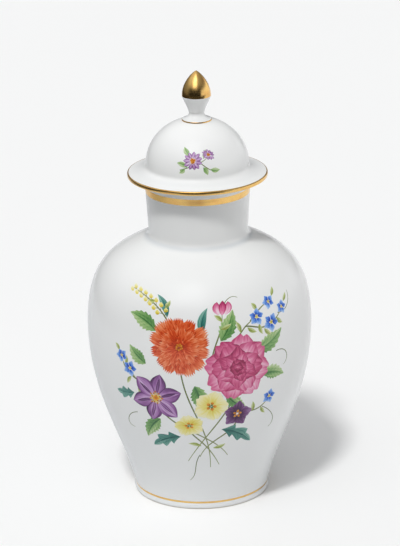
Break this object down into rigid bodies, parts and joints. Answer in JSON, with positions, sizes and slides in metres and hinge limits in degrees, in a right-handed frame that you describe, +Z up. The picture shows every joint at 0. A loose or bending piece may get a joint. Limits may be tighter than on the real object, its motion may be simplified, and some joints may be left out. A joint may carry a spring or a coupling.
{
  "type": "lidded baluster vase",
  "caption": "Lidded baluster jar in white glazed porcelain with a domed lift-off lid, a bud finial, gilded lines and a painted flower spray.",
  "frame": {"origin": "centre of the circle that the foot ring stands on", "axes": "+Z up along the axis the jar is turned round, -Y towards the painted front"},
  "size_m": [0.1542, 0.1542, 0.3],
  "materials": {
    "glazed_porcelain": "clear gloss glaze over white hard-paste porcelain, unglazed on the standing ring",
    "burnished_gilding": "burnished fired gilding",
    "painted_enamel": "glossy overglaze enamel colours"
  },
  "bodies": {
    "jar": {"foot": "glazed_porcelain", "lower_body": "glazed_porcelain", "upper_body": "glazed_porcelain", "neck": "glazed_porcelain", "foot_gilding": "burnished_gilding", "neck_gilding": "burnished_gilding"},
    "cover": {"lid": "glazed_porcelain", "lid_edge_gilding": "burnished_gilding", "finial": "glazed_porcelain", "finial_ring_gilding": "burnished_gilding", "finial_bud_gilding": "burnished_gilding"}
  },
  "joints": [
    {"name": "lid_lift", "type": "slide", "parent": "jar", "child": "cover", "axis": [0, 0, 1], "range_m": [0, 0.1]}
  ]
}
